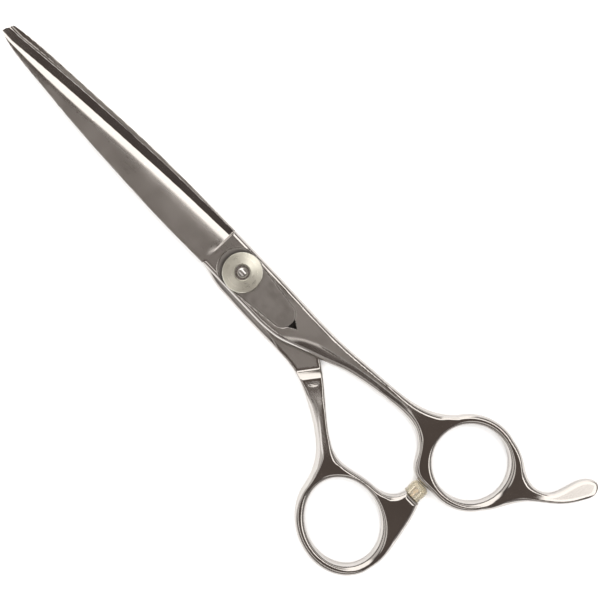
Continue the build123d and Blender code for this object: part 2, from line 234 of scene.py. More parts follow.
def contour(field, xs, ys, zs):
    """Closed surface where the field is zero, with one vertex in each grid cell that it passes.

    The vertices are set on the creases and corners of the surface.
    """
    axes = (xs, ys, zs)
    shape = tuple(len(a) for a in axes)
    f = np.broadcast_to(field(xs[:, None, None], ys[None, :, None], zs[None, None, :]), shape)
    cells = (shape[0] - 1, shape[1] - 1, shape[2] - 1)
    points, normals, owners = [], [], []
    for axis in range(3):
        first = [slice(None)] * 3
        second = [slice(None)] * 3
        first[axis] = slice(0, -1)
        second[axis] = slice(1, None)
        inside = f[tuple(first)] < 0
        at = np.array(np.nonzero(inside != (f[tuple(second)] < 0)))
        to = at.copy()
        to[axis] += 1
        f0, f1 = f[tuple(at)], f[tuple(to)]
        p0 = np.column_stack([axes[i][at[i]] for i in range(3)])
        p1 = np.column_stack([axes[i][to[i]] for i in range(3)])
        for _ in range(ROOT_STEPS):
            t = np.clip(f0 / (f0 - f1), ROOT_MARGIN, 1 - ROOT_MARGIN)[:, None]
            mid = p0 + t * (p1 - p0)
            fm = field(*mid.T)
            left = (fm < 0) == (f0 < 0)
            p0 = np.where(left[:, None], mid, p0)
            f0 = np.where(left, fm, f0)
            p1 = np.where(left[:, None], p1, mid)
            f1 = np.where(left, f1, fm)
        t = (f0 / (f0 - f1))[:, None]
        p = p0 + t * (p1 - p0)
        ring = []
        b, c = (axis + 1) % 3, (axis + 2) % 3
        for db, dc in ((-1, -1), (0, -1), (0, 0), (-1, 0)):
            cell = at.copy()
            cell[b] += db
            cell[c] += dc
            ring.append(np.ravel_multi_index(tuple(cell), cells))
        ring = np.array(ring).T
        solid_first = inside[tuple(at)]
        ring[~solid_first] = ring[~solid_first][:, ::-1]
        points.append(p)
        normals.append(gradient(field, p))
        owners.append(ring)
    p = np.repeat(np.vstack(points), 4, axis=0)
    n = np.repeat(np.vstack(normals), 4, axis=0)
    quads = np.vstack(owners)
    ids, back = np.unique(quads.ravel(), return_inverse=True)
    count = np.bincount(back)

    def total(w):
        return np.bincount(back, weights=w, minlength=len(ids))

    centre = np.column_stack([total(p[:, i]) for i in range(3)]) / count[:, None]
    off = (n * (p - centre[back])).sum(1)
    a = np.empty((len(ids), 3, 3))
    for i in range(3):
        for j in range(i, 3):
            a[:, i, j] = a[:, j, i] = total(n[:, i] * n[:, j])
    rhs = np.column_stack([total(n[:, i] * off) for i in range(3)])
    a += np.eye(3) * CENTRE_PULL * count[:, None, None]
    v = centre + np.linalg.solve(a, rhs[:, :, None])[:, :, 0]
    cell = np.unravel_index(ids, cells)
    for i in range(3):
        v[:, i] = np.clip(v[:, i], axes[i][cell[i]], axes[i][cell[i] + 1])
    return v, back.reshape(-1, 4)


def levels(low, high, step, through=()):
    """Evenly spaced levels past both ends, with one of them moved onto each level asked for."""
    out = np.arange(low - 1.5 * step, high + 2.5 * step, step)
    for z in through:
        out[np.abs(out - z).argmin()] = z
    return out


CREASE = cos(radians(32))   # a corner whose normal leaves its face's by more than this is on a crease
CORNER_INSET = 0.3          # how far into its face a corner's normal is read, so creases stay sharp


def make_piece(name, field, step, body, replaces, slot, through=(), polish=None):
    """Meshes a field, with the field's own normals, and puts it on its body in place of a CAD node."""
    low, high = box_mm(replaces)
    xs = levels(low[0], high[0], step)
    ys = levels(low[1], high[1], step)
    zs = levels(low[2], high[2], step, through)
    v, quads = contour(field, xs, ys, zs)
    mesh = bpy.data.meshes.new(name)
    mesh.from_pydata((v * MM).tolist(), [], quads.tolist())
    corner = v[quads]
    corner = corner + CORNER_INSET * (corner.mean(1, keepdims=True) - corner)
    normals = gradient(field, corner.reshape(-1, 3))
    flat = np.cross(v[quads[:, 2]] - v[quads[:, 0]], v[quads[:, 3]] - v[quads[:, 1]])
    flat = np.repeat(flat / np.maximum(np.linalg.norm(flat, axis=1), 1e-12)[:, None], 4, axis=0)
    off = (normals * flat).sum(1) < CREASE
    normals[off] = flat[off]
    mesh.shade_smooth()
    mesh.normals_split_custom_set(normals.tolist())
    if polish:
        layer = mesh.attributes.new("polish", "FLOAT", "POINT")
        layer.data.foreach_set("value", polish(v[:, 0], v[:, 1]).astype(np.float32))
    obj = bpy.data.objects.new(name, mesh)
    bpy.context.scene.collection.objects.link(obj)
    mesh.materials.append(MATERIALS[slot])
    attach(obj, body)
    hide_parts(replaces)


# ------------------------------------------------------------------ measures taken from the frame
finger_high = box_mm("finger_half")[1]
dial_low, dial_high = box_mm("tension_dial")
spring_low = box_mm("leaf_spring")[0]
screw_low, screw_high = box_mm("pivot_screw")
bush_low, bush_high = box_mm("pivot_bushing")
friction_low, friction_high = box_mm("friction_washer")
bumper_low, bumper_high = box_mm("bumper")
post_low, post_high = box_mm("bumper_post")

BUMPER_X = (bumper_low[0] + bumper_high[0]) / 2
BUMPER_R = (bumper_high[0] - bumper_low[0]) / 2
FRONT_Z = finger_high[2]
HALF_T = FRONT_Z / 2
GAP = 0.01
FINGER_Z = HALF_T + GAP
THUMB_Z = HALF_T - GAP
TIP_X = -88.0
SHOULDER_X = -9.0       # where the blades end and the ride begins
FINGER_HOLE = (76.0, 8.45)
FINGER_HOLE_R = 10.0
FINGER_RING_R = 12.5
THUMB_HOLE = (64.0, -25.65)
THUMB_HOLE_AB = (11.35, 9.7)
THUMB_RING_AB = (14.15, 12.2)
THUMB_TURN = -25.5
RECESS_X = -1.6         # centre of the recess's large round end
RECESS_R = 5.3
RECESS_POINT_X = 15.0   # centre of its small round end
RECESS_POINT_R = 3.3
NOTCH_X = 18.6
NOTCH_IN_R = 0.75       # notch centre to its sides
LAND = 0.12             # height left at a cutting edge
LAND_MID = LAND / 2

# What the screw, the bumper's post and their bores measure: radii, and half the width across flats.
SHAFT_R = 2.5
SHAFT_BORE_R = 2.55
FLATS = 2.0
FLATS_BORE = 2.05
THREAD_R = 1.9
THREAD_BORE_R = 1.95
BUSH_BORE_R = 3.25      # of the friction washer, round the bushing
POST_R = 0.99
POST_BORE_R = 1.0
POCKET_GAP = 0.12       # room round the leaf spring, the screw head and the friction washer

# Each blade from shoulder to tip: x, then across it from the spine: spine, ridge, end of the crown,
# cutting edge.
FINGER_BLADE = [
    (-9.0, -5.7, 2.75, 4.3, 5.95), (-28.0, -5.85, 1.75, 3.3, 5.35), (-44.0, -5.43, 0.65, 2.15, 4.5),
    (-60.0, -4.72, -0.9, 0.9, 3.25), (-74.0, -3.7, -1.8, -0.4, 1.85), (-84.0, -2.65, -2.1, -1.5, 0.75),
]
THUMB_BLADE = [
    (-9.0, -6.1, 2.6, 4.1, 5.7), (-28.0, -5.88, 1.6, 3.1, 5.15), (-44.0, -5.3, 0.5, 2.0, 4.3),
    (-60.0, -4.2, -0.8, 0.7, 3.05), (-74.0, -3.2, -1.6, -0.3, 1.65), (-84.0, -2.13, -1.9, -1.2, 0.5),
]
TIP_T = 1.25
ROOT_T = HALF_T - GAP
FLAT_SHARE = 0.35       # flat share of the outer face from spine to ridge; then it falls ever faster
RIDGE_SLOPE = 0.17
CROWN_SLOPE = 0.25      # where the crown ends
BEVEL_SLOPE = 0.46
BEVEL_SHARE = 0.91      # the rest of the bevel, at the cutting edge, is steeper
BEVEL_DROP = 0.8        # most of the height over the land that the bevel may use up
BEND = 0.03             # how far the creases along the bevel are cut back
HOLLOW = 0.1            # depth ground out of a blade's inner face
HOLLOW_FULLNESS = 0.7   # below 1, the hollow is flatter in the middle than a sine
SPINE_LAND = 0.9        # width left along the spine
RIDE_LINE = 0.8         # width left along the cutting edge
FINGER_NOSE_X = -86.6
THUMB_NOSE_X = -86.4


def finger_outline():
    """Outline of the front half, clockwise from the nose along the cutting edge."""
    edge_end = (FINGER_NOSE_X, 0.42)
    spine_end = (FINGER_NOSE_X, -2.05)
    edge = spline([edge_end] + [(b[0], b[4]) for b in FINGER_BLADE[::-1]])
    spine = spline([(b[0], b[1]) for b in FINGER_BLADE] + [spine_end])
    nose = spline([spine_end, (-87.4, -1.9), (-87.9, -1.5), (-87.9, -0.8), (-87.6, 0.0), edge_end])
    top = arc(FINGER_HOLE, FINGER_RING_R, FINGER_RING_R, 150, -75)
    base = arc(FINGER_HOLE, FINGER_RING_R, FINGER_RING_R, -32, -60)
    upper = spline([
        (8, 6.1), (20, 5.85), (32, 6.02), (40, 6.78), (48, 7.56), (54, 8.45), (59, 10.1), (62.5, 12.2),
        top[0],
    ])
    rest = spline([
        top[-1], (82.3, 19.8), (85.0, 18.6), (88.3, 16.7), (92.3, 16.0), (95.8, 17.6), (97.4, 20.8),
        (98.4, 24.4), (100.0, 27.3), (102.4, 28.4), (103.9, 26.3), (102.9, 22.8), (100.4, 18.9),
        (96.8, 15.4), (93.2, 12.1), (90.6, 8.2), (88.6, 4.5), base[0],
    ])
    lower = spline([
        base[-1], (72.0, -4.15), (68.6, -4.05), (66.4, -2.5), (64.6, 0.3), (62.4, 2.7), (59.5, 4.2),
        (56, 4.72), (49, 4.2), (42, 2.98), (36, 1.42), (30.5, -0.8), (25, -2.9), (19, -5.0), (12, -5.85),
    ])
    ride_top = line(edge[-1], (SHOULDER_X, 6.1), (8, 6.1))
    ride_low = line((12, -5.85), spine[0])
    return np.vstack([edge, ride_top, upper, top, rest, base, lower, ride_low, spine, nose])


def thumb_outline():
    """Outline of the rear half, clockwise from the nose along the spine."""
    edge_end = (THUMB_NOSE_X, -0.12)
    spine_end = (THUMB_NOSE_X, 1.72)
    edge = spline([(b[0], -b[4]) for b in THUMB_BLADE] + [edge_end])
    nose = spline([edge_end, (-87.2, -0.2), (-87.6, 0.15), (-87.4, 0.85), (-87.15, 1.4), spine_end])
    spine = spline([spine_end] + [(b[0], -b[1]) for b in THUMB_BLADE[::-1]])
    ring = arc(THUMB_HOLE, *THUMB_RING_AB, 5, -148, THUMB_TURN)
    upper = spline([
        (6, 5.95), (13, 5.65), (18, 4.7), (22.5, 3.1), (26.5, 1.1), (30, -1.1), (34, -3.9), (38, -7.1),
        (42, -10.3), (46, -13.2), (50, -15.1), (54, -15.4), (58, -14.5), (62, -13.75), (65.3, -13.3),
        (67.6, -12.2), (69.1, -10.6), (69.9, bumper_low[1]),
    ])
    back = spline([
        (74.3, bumper_low[1]), (75.6, -12.0), (76.7, -16.5), (77.6, -21.0), (78.05, -25.5), ring[0],
    ])
    lower = spline([
        ring[-1], (49.9, -24.4), (48.6, -21.4), (46.5, -18.4), (43.6, -15.8), (40, -13.35), (36, -11.2),
        (32, -9.3), (28, -8.0), (23, -7.45), (16, -7.5), (8, -7.5), (1, -7.3),
    ])
    hip = spline([lower[-1], (-3.5, -6.95), (-6.5, -6.2), edge[0]])
    ride_top = line(spine[-1], (6, 5.95))
    arm = line(upper[-1], back[0])
    return np.vstack([spine, ride_top, upper, arm, back, ring, lower, hip, edge, nose])


class Blade:
    """Heights of one blade over the plane where the halves meet.

    v runs across the blade from its spine to its cutting edge.
    """

    def __init__(self, table):
        columns = np.array(table).T
        x = columns[0]
        self.spine, self.ridge, self.crown, self.edge = (
            profile(*sorted(zip(x, column))) for column in columns[1:]
        )

    def thickness(self, x):
        """Thickness along the spine, from the tip to the shoulder."""
        return TIP_T + (ROOT_T - TIP_T) * np.clip((x - TIP_X) / (SHOULDER_X - TIP_X), 0, 1)

    def outer(self, x, v):
        """Height of the outer face: flat, then falling to the ridge, the crown and the edge."""
        spine, ridge, crown, edge = self.spine(x), self.ridge(x), self.crown(x), self.edge(x)
        start = spine + FLAT_SHARE * (ridge - spine)
        wide = ridge - start
        fall = np.clip(v - start, 0, wide) / wide
        at_ridge = self.thickness(x) - RIDGE_SLOPE * wide / 4
        height = self.thickness(x) - RIDGE_SLOPE * wide * fall**4 / 4
        wide = crown - ridge
        fall = np.maximum(v - ridge, 0)
        height = height - RIDGE_SLOPE * fall - (CROWN_SLOPE - RIDGE_SLOPE) * fall**2 / (2 * wide)
        at_crown = at_ridge - (RIDGE_SLOPE + CROWN_SLOPE) / 2 * wide
        wide = edge - crown
        slope = np.minimum(BEVEL_SLOPE, BEVEL_DROP * (at_crown - LAND) / wide)
        at_facet = at_crown - slope * wide * BEVEL_SHARE
        steep = (at_facet - LAND) / (wide * (1 - BEVEL_SHARE))
        bevel = at_crown - slope * (v - crown)
        facet = LAND + steep * (edge - v)
        return lower_of(lower_of(height, bevel, BEND), facet, BEND * 3)

    def inner(self, x, v):
        """Depth of the hollow grind, between the ride line along the edge and the land along the spine."""
        spine, edge = self.spine(x), self.edge(x)
        across = np.clip((v - spine - SPINE_LAND) / (edge - RIDE_LINE - spine - SPINE_LAND), 0, 1)
        past_shoulder = smooth(-x, -SHOULDER_X + 2, -SHOULDER_X + 9)
        return HOLLOW * np.sin(pi * across) ** HOLLOW_FULLNESS * past_shoulder


def on_blade(x):
    """1 on the blade, 0 on the ride and the handle."""
    return 1 - smooth(x, SHOULDER_X - 0.35, SHOULDER_X + 0.3)


finger_plan = Plan(finger_outline())
thumb_plan = Plan(thumb_outline())
finger_blade = Blade(FINGER_BLADE)
thumb_blade = Blade(THUMB_BLADE)

# The front half along x: heights of its front and rear faces, the y of its middle line, the widths of
# its facet and brow in from the outline, and the rounding of its edges.
finger_front = profile(
    (20, FRONT_Z), (30, 5.95), (37, 5.65), (46, 5.45), (55, 5.55), (63, 5.9), (69, 6.0), (84, 6.0),
    (90, 5.5), (97, 5.1), (104, 5.1),
)
finger_rear = profile(
    (25, FINGER_Z), (30.5, FINGER_Z), (33, 2.2), (36, 1.05), (42, 0.6), (56, 0.45), (64, 0.05),
    (70, 0), (84, 0), (91, 0.75), (98, 1.25), (104, 1.5),
)
finger_middle = profile(
    (16, 0.3), (22.5, 0.8), (27.5, 1.6), (31, 2.5), (42, 4.9), (49, 5.9), (56, 6.7), (63, 7.5),
)
finger_facet = profile(
    (14, 0.0), (17, 0.7), (20, 1.8), (24, 3.0), (28, 3.3), (32, 3.0), (37, 2.4), (44, 2.0),
    (53, 1.9), (58, 1.2), (63, 0.0),
)
finger_brow = profile((-9.2, 0.0), (-8.4, 1.1), (36, 1.1), (44, 1.0), (52, 0.0))
finger_round = profile(
    (-9.2, 0.16), (-8.4, 0.8), (27, 0.9), (45, 0.9), (60, 1.6), (90, 1.6), (95, 0.7), (104, 0.6),
)
BROW_SLOPE = 0.24
FACET_SLOPE = 0.38
FACET_BEND = 0.6
FACET_SPAN = (15, 23)        # x over which the facet comes in
BEVEL_SPAN = (-0.6, 0.2)     # from the ridge, where edge rounding gives way to the ground bevel
BEVEL_R = 0.01
LAND_R = 0.005
RING_ROUND = 1.15
RING_SPAN = 1.5              # width over which the edge rounding changes to a ring's
REAR_ROUND_X = 32            # past this the rear edge is rounded like the front one
REAR_R = 0.06
NOTCH_Z = FRONT_Z - 2.3
POCKET_R = 0.2
SHOULDER_STEP = 0.32
STEP_SPAN = (-3.6, 0.2)      # y over which the shoulder's step comes in
STEP_REACH = (0.3, 1.8)      # and how far towards the tip it runs out
RIM_OFFSET = 1.5
RIM_WIDER = 0.25
RIM_SLOPE = 0.75
RIM_BEND_SQUARED = 0.1
PADDLE = (98.5, 21.0)
PADDLE_ACROSS = (-0.88, 0.47)
PADDLE_SLOPE = 0.33
PADDLE_LIMITS = (-2.4, 2.6)
PADDLE_SPAN = (92.0, 96.5)


def low_side(x, y):
    """1 on the front half's side below its middle line, 0 above it."""
    return smooth(finger_middle(x) - y, -0.3, 0.3)


def finger_shape(x, y):
    """Plan distance, front and rear heights, edge rounding and bevel of the front half."""
    plan = np.maximum(finger_plan(x, y), -disc(x, y, FINGER_HOLE, FINGER_HOLE_R))
    blade = on_blade(x)
    front = finger_front(x) * (1 - blade) + (FINGER_Z + finger_blade.outer(x, y)) * blade
    facet = np.maximum(eased(finger_facet(x) + plan, FACET_BEND**2) - FACET_BEND / 4, 0)
    front = front - FACET_SLOPE * facet * low_side(x, y) * smooth(x, *FACET_SPAN)
    front = front - BROW_SLOPE * np.maximum(finger_brow(x) + plan, 0)
    tilt = PADDLE_ACROSS[0] * (x - PADDLE[0]) + PADDLE_ACROSS[1] * (y - PADDLE[1])
    front = front - PADDLE_SLOPE * np.clip(tilt, *PADDLE_LIMITS) * smooth(x, *PADDLE_SPAN)
    run_out = smooth(-x, -SHOULDER_X + STEP_REACH[0], -SHOULDER_X + STEP_REACH[1])
    front = front - SHOULDER_STEP * (smooth(y, *STEP_SPAN) * (1 - run_out) * blade)
    front = front - RIM_SLOPE * rim_sink(x, y, FINGER_HOLE, FINGER_HOLE_R, FINGER_HOLE_R)
    rear = finger_rear(x) + finger_blade.inner(x, y) * blade
    on_bevel = blade * smooth(y - finger_blade.ridge(x), *BEVEL_SPAN)
    ring = 1 - smooth(disc(x, y, FINGER_HOLE, FINGER_RING_R), 0.0, RING_SPAN)
    r = finger_round(x)
    return plan, front, rear, r + (np.minimum(r, RING_ROUND) - r) * ring, on_bevel


def rim_sink(x, y, centre, a, b, turn=0.0):
    """How far a point is inside a hole's wider, offset mouth; the rim is worn down on that side."""
    mouth = (centre[0] + RIM_OFFSET, centre[1])
    return eased(-oval(x, y, mouth, a + RIM_WIDER, b + RIM_WIDER, turn), RIM_BEND_SQUARED)


def finger_field(x, y, z):
    """Front half: blade, ride, shank, finger ring and finger rest."""
    plan, front, rear, r, on_bevel = finger_shape(x, y)
    body = meet(plan, z - front, r * (1 - on_bevel) + BEVEL_R * on_bevel)
    r_rear = np.where(x > REAR_ROUND_X, r, REAR_R) * (1 - on_bevel) + LAND_R * on_bevel
    body = meet(body, rear - z, r_rear)
    spring_pocket = np.maximum(recess(x, y), spring_low[2] - z)
    pry_notch = np.maximum(notch(x, y), NOTCH_Z - z)
    body = meet(body, -np.minimum(spring_pocket, pry_notch), POCKET_R)
    keyed_bore = np.maximum(np.hypot(x, y) - SHAFT_BORE_R, np.abs(y) - FLATS_BORE)
    return np.maximum(body, -keyed_bore)


POLISH_SPAN = (-1.6, 0.7)    # from the ridge, where the satin flat gives way to the polished bevel


def finger_polish(x, y):
    """How polished the front half is: satin ride and flats, polished bevel, ring and edges.

    It is -1 in the pry notch, which the steel's material fills with painted shade.
    """
    blade = on_blade(x)
    bevel = blade * smooth(y - finger_blade.ridge(x), *POLISH_SPAN)
    handle = smooth(x, 50, 62) * (1 - 0.75 * smooth(x, 92, 96))
    edge = smooth(finger_plan(x, y), -1.3, -1.0) * (1 - blade)
    on_facet = smooth(finger_facet(x) + finger_plan(x, y), -0.1, 0.5)
    edge = np.maximum(edge, 0.9 * (on_facet * low_side(x, y)) * smooth(x, 17, 24))
    return np.where(notch(x, y) < 0.1, -1.0, np.maximum(np.maximum(bevel, handle), edge))


def recess(x, y):
    """Signed distance to the plan of the leaf spring's recess."""
    lean = (RECESS_R - RECESS_POINT_R) / (RECESS_POINT_X - RECESS_X)
    side = np.sqrt(1 - lean**2)
    sides = np.abs(y) * side + (x - RECESS_X) * lean - RECESS_R
    ends = np.maximum(RECESS_X + RECESS_R * lean - x, x - RECESS_POINT_X - RECESS_POINT_R * lean)
    large_end = disc(x, y, (RECESS_X, 0), RECESS_R)
    small_end = disc(x, y, (RECESS_POINT_X, 0), RECESS_POINT_R)
    return np.minimum(np.maximum(sides, ends), np.minimum(large_end, small_end))


SIN_60 = 0.866


def notch(x, y):
    """Signed distance to the triangular notch past the spring; one corner points to the rings."""
    u = x - NOTCH_X
    return np.maximum(-u, np.abs(y) * SIN_60 + u * 0.5) - NOTCH_IN_R


# The rear half. SCOOP is the direction of its shank, along which the shank's front face rises. The
# rest runs along x: the rear face, the rounding of the edges, the width of the flank facet in from
# the outline, and the y of the shank's middle line.
SCOOP = np.array([0.808, -0.589])
thumb_shank = profile(
    (24, 2.99), (26.9, 2.99), (27.2, 3.06), (27.6, 3.35), (28.2, 3.83), (28.8, 4.31), (29.2, 4.6),
    (29.7, 4.72), (32.4, 4.75), (38, 5.4), (44, 5.45), (52, 5.55), (58, 5.9), (62, 6.0),
)
thumb_rear = profile((26, 0), (34, 0.1), (40, 0.5), (50, 0.5), (57, 0.1), (62, 0))
thumb_round = profile((-9.2, 0.06), (-8.4, 0.5), (29, 0.5), (36, 1.3), (46, 1.6), (80, 1.6))
thumb_flank = profile(
    (-9.2, 0.2), (-5, 1.5), (6, 2.0), (14, 1.6), (24, 0.0), (33, 0.0), (37, 1.9), (46, 2.2),
    (56, 0.5),
)
thumb_middle = profile(
    (26, -4.0), (30, -5.0), (34, -7.0), (38, -9.7), (42, -12.6), (46, -15.8), (49, -18.0),
)
NECK_X = 20                  # the flat ride ends here and the shank begins
RIDE_FLANK_SLOPE = 0.54
SHANK_FLANK_SLOPE = 0.6
FLANK_BEND = 0.15
DISH = (30.9, 14.3, 5.2)     # along the shank, across it and up
DISH_SIZE = (0.8, 1.6, 0.85)
DISH_R = 0.08
UPPER_ROUND = 0.55           # edge rounding on the side that faces the finger half


def along_shank(x, y):
    """Distance from the pivot axis along the rear half's shank."""
    return x * SCOOP[0] + y * SCOOP[1]


def thumb_shape(x, y):
    """Plan distance, heights, edge rounding and bevel of the rear half, and distance along its shank."""
    plan = np.maximum(thumb_plan(x, y), -oval(x, y, THUMB_HOLE, *THUMB_HOLE_AB, THUMB_TURN))
    blade = on_blade(x)
    along = along_shank(x, y)
    front = np.where(x < NECK_X, THUMB_Z, thumb_shank(along)) - thumb_blade.inner(x, -y) * blade
    rear = thumb_rear(x) * (1 - blade) + (THUMB_Z - thumb_blade.outer(x, -y)) * blade
    on_bevel = blade * smooth(-y - thumb_blade.ridge(x), *BEVEL_SPAN)
    ring = 1 - smooth(oval(x, y, THUMB_HOLE, *THUMB_RING_AB, THUMB_TURN), 0.0, RING_SPAN)
    front = front - RIM_SLOPE * rim_sink(x, y, THUMB_HOLE, *THUMB_HOLE_AB, THUMB_TURN)
    flank = eased(thumb_flank(x) + plan, FLANK_BEND**2)
    at_ride = smooth(-y, 1.0, 3.0) * smooth(x, -9.5, -6.5) * (1 - smooth(x, 18, 24))
    at_shank = smooth(thumb_middle(x) - y, -0.2, 0.4) * smooth(x, 33, 36) * (1 - smooth(x, 50, 56))
    front = front - flank * (RIDE_FLANK_SLOPE * at_ride + SHANK_FLANK_SLOPE * at_shank)
    r = thumb_round(x)
    upper = smooth(y - thumb_middle(x), -0.4, 0.4) * smooth(x, 28, 32) * (1 - smooth(x, 46, 52))
    r = r + (UPPER_ROUND - r) * upper
    return plan, front, np.maximum(rear, 0), r + (np.minimum(r, RING_ROUND) - r) * ring, on_bevel, along


def thumb_field(x, y, z):
    """Rear half: blade, ride, neck, shank, thumb ring and the arm of the bumper."""
    plan, front, rear, r, on_bevel, along = thumb_shape(x, y)
    body = meet(plan, z - front, r * (1 - on_bevel) + LAND_R)
    body = meet(body, rear - z, r * (1 - on_bevel) + LAND_R)
    across = -x * SCOOP[1] + y * SCOOP[0]
    off = [(at - c) / size for at, c, size in zip((along, across, z), DISH, DISH_SIZE)]
    dish = np.sqrt(off[0] ** 2 + off[1] ** 2 + off[2] ** 2) - 1
    body = meet(body, -dish * DISH_SIZE[0], DISH_R)
    from_pivot = np.hypot(x, y)
    head = np.maximum(from_pivot - screw_high[0] - POCKET_GAP, z - bush_low[2])
    washer = np.maximum(from_pivot - friction_high[0] - POCKET_GAP, friction_low[2] - z)
    bores = np.minimum(np.minimum(from_pivot - bush_high[0], head), washer)
    socket = np.maximum(np.hypot(x - BUMPER_X, z - HALF_T) - POST_BORE_R, post_low[1] - y)
    return np.maximum(np.maximum(body, -bores), -socket)


def thumb_polish(x, y):
    """How polished the rear half is: polished bevel, edges, neck and ring, a satin shank."""
    blade = on_blade(x)
    bevel = blade * smooth(-y - thumb_blade.ridge(x), *POLISH_SPAN)
    edge = smooth(thumb_plan(x, y), -1.2, -0.7) * (1 - blade)
    along = along_shank(x, y)
    satin_shank = 0.85 * smooth(along, 29.6, 30.4) * (1 - smooth(along, 44, 52))
    handle = smooth(along, 26.0, 27.2) * (1 - satin_shank)
    return np.maximum(np.maximum(bevel, edge), handle)


# ------------------------------------------------------------------ small pieces
def slab(z, low, high):
    """Between two heights."""
    return np.maximum(low - z, z - high)


def turned(r, z, outer, low, high, bevel=0.0, round_r=0.03):
    """A solid turned about the pivot axis, with both rims bevelled."""
    f = bevelled(r - outer, z - high, round_r, bevel)
    return bevelled(f, low - z, round_r, bevel)


DIAL_R = dial_high[0]
DIAL_Z = dial_low[2]
DIAL_TOP = dial_high[2]
DIAL_FLAT_R = 2.3       # the face is level this far out
DIAL_FALL = 0.17        # and slopes down by this from there to the rim
DIAL_BEVEL = 0.12
EYE_R = THREAD_BORE_R
EYE_Z = DIAL_TOP - 0.6  # top of the screw's thread, under the eye of the dial
EYE_CHAMFER = 0.22
CLICK_RING_R = 4.3      # circle of the click dimples under the dial and of the spring's nib
CLICK_R = 0.35
CLICKS = 12
SPRING_T = 0.5
NIB_R = 0.6
NIB_SINK = 0.42         # centre of the nib below the top of the leaf
HEAD_T = 0.8
HEAD_BEVEL = 0.2
JOIN = 0.2              # overlap of neighbouring parts of the screw
THREAD_Z = 4.8
POINT_R = 1.5
POINT_DOME = 2.2        # radius of the domed end of the screw
SLOT_HALF = 0.4
SLOT_DEEP = 0.45
BUMPER_ROUND = 1.3
BUMPER_FOOT_R = 0.25
WAIST_DEEP = 0.12       # a slight waist in the bumper: depth, distance from its foot and spread
WAIST_UP = 1.0
WAIST_SPREAD = 0.35
POST_BEVEL = 0.2
POST_EDGE_R = 0.05
RING_BEVEL = 0.06
RING_EDGE_R = 0.02


def dial_field(x, y, z):
    """Tension dial: a sloping face, an eye for the screw and click dimples underneath."""
    r = np.hypot(x, y)
    face = DIAL_TOP - DIAL_FALL * np.maximum(r - DIAL_FLAT_R, 0)
    f = bevelled(r - DIAL_R, z - face, 0.1, DIAL_BEVEL)
    f = bevelled(f, DIAL_Z - z, 0.04, DIAL_BEVEL)
    eye = r - EYE_R - np.maximum(z - (DIAL_TOP - EYE_CHAMFER), 0)
    turn = 2 * pi / CLICKS
    a = np.mod(np.arctan2(y, x) + turn / 2, turn) - turn / 2
    out, beside = r * np.cos(a) - CLICK_RING_R, r * np.sin(a)
    click = np.sqrt(out**2 + beside**2 + (z - DIAL_Z) ** 2) - CLICK_R
    return np.maximum(f, -np.minimum(eye, click))


def screw_field(x, y, z):
    """Pivot screw: slotted head, shaft with two flats, thread and domed point."""
    r = np.hypot(x, y)
    head_top = screw_low[2] + HEAD_T
    head = turned(r, z, screw_high[0], screw_low[2], head_top, HEAD_BEVEL)
    shaft = np.maximum(r - SHAFT_R, slab(z, head_top - JOIN, spring_low[2]))
    shaft = np.where(z > FINGER_Z, np.maximum(shaft, np.abs(y) - FLATS), shaft)
    thread = np.maximum(r - THREAD_R, slab(z, THREAD_Z, EYE_Z))
    dome = np.hypot(r, z - screw_high[2] + POINT_DOME) - POINT_DOME
    point = np.maximum(meet(r - POINT_R, dome, 0.3), EYE_Z - JOIN - z)
    slot = np.maximum(np.abs(y) - SLOT_HALF, z - screw_low[2] - SLOT_DEEP)
    f = np.minimum(np.minimum(head, shaft), np.minimum(thread, point))
    return np.maximum(f, -slot)


def spring_field(x, y, z):
    """Leaf spring: a flat teardrop plate with the nib that clicks into the dial's dimples."""
    plan = recess(x, y) + POCKET_GAP
    top = spring_low[2] + SPRING_T
    f = meet(meet(plan, z - top, 0.08), spring_low[2] - z, 0.04)
    nib = np.sqrt((x + CLICK_RING_R) ** 2 + y**2 + (z - top + NIB_SINK) ** 2) - NIB_R
    f = np.minimum(f, np.maximum(nib, spring_low[2] - z))
    return np.maximum(f, THREAD_BORE_R - np.hypot(x, y))


def bumper_field(x, y, z):
    """Soft bumper: a round-nosed barrel with a socket for its post."""
    r = np.hypot(x - BUMPER_X, z - HALF_T)
    f = meet(r - BUMPER_R, y - bumper_high[1], BUMPER_ROUND)
    f = meet(f, bumper_low[1] - y, BUMPER_FOOT_R)
    waist = WAIST_DEEP * np.exp(-(((y - bumper_low[1] - WAIST_UP) / WAIST_SPREAD) ** 2))
    socket = np.maximum(r - POST_BORE_R, y - post_high[1])
    return np.maximum(f + waist, -socket)


def post_field(x, y, z):
    """The bumper's metal post."""
    r = np.hypot(x - BUMPER_X, z - HALF_T)
    f = bevelled(r - POST_R, y - post_high[1] + 0.01, POST_EDGE_R, POST_BEVEL)
    return bevelled(f, post_low[1] - y, POST_EDGE_R, POST_BEVEL)


def ring_field(node, bore):
    """Field of a washer or bushing as large as its CAD node, with a bore of its own."""
    low, high = box_mm(node)
    edge = min(RING_BEVEL, (high[2] - low[2]) * 0.25)

    def field(x, y, z):
        r = np.hypot(x, y)
        rim = turned(r, z, high[0], low[2], high[2], edge, RING_EDGE_R)
        return bevelled(rim, bore - r, RING_EDGE_R, edge)

    return field


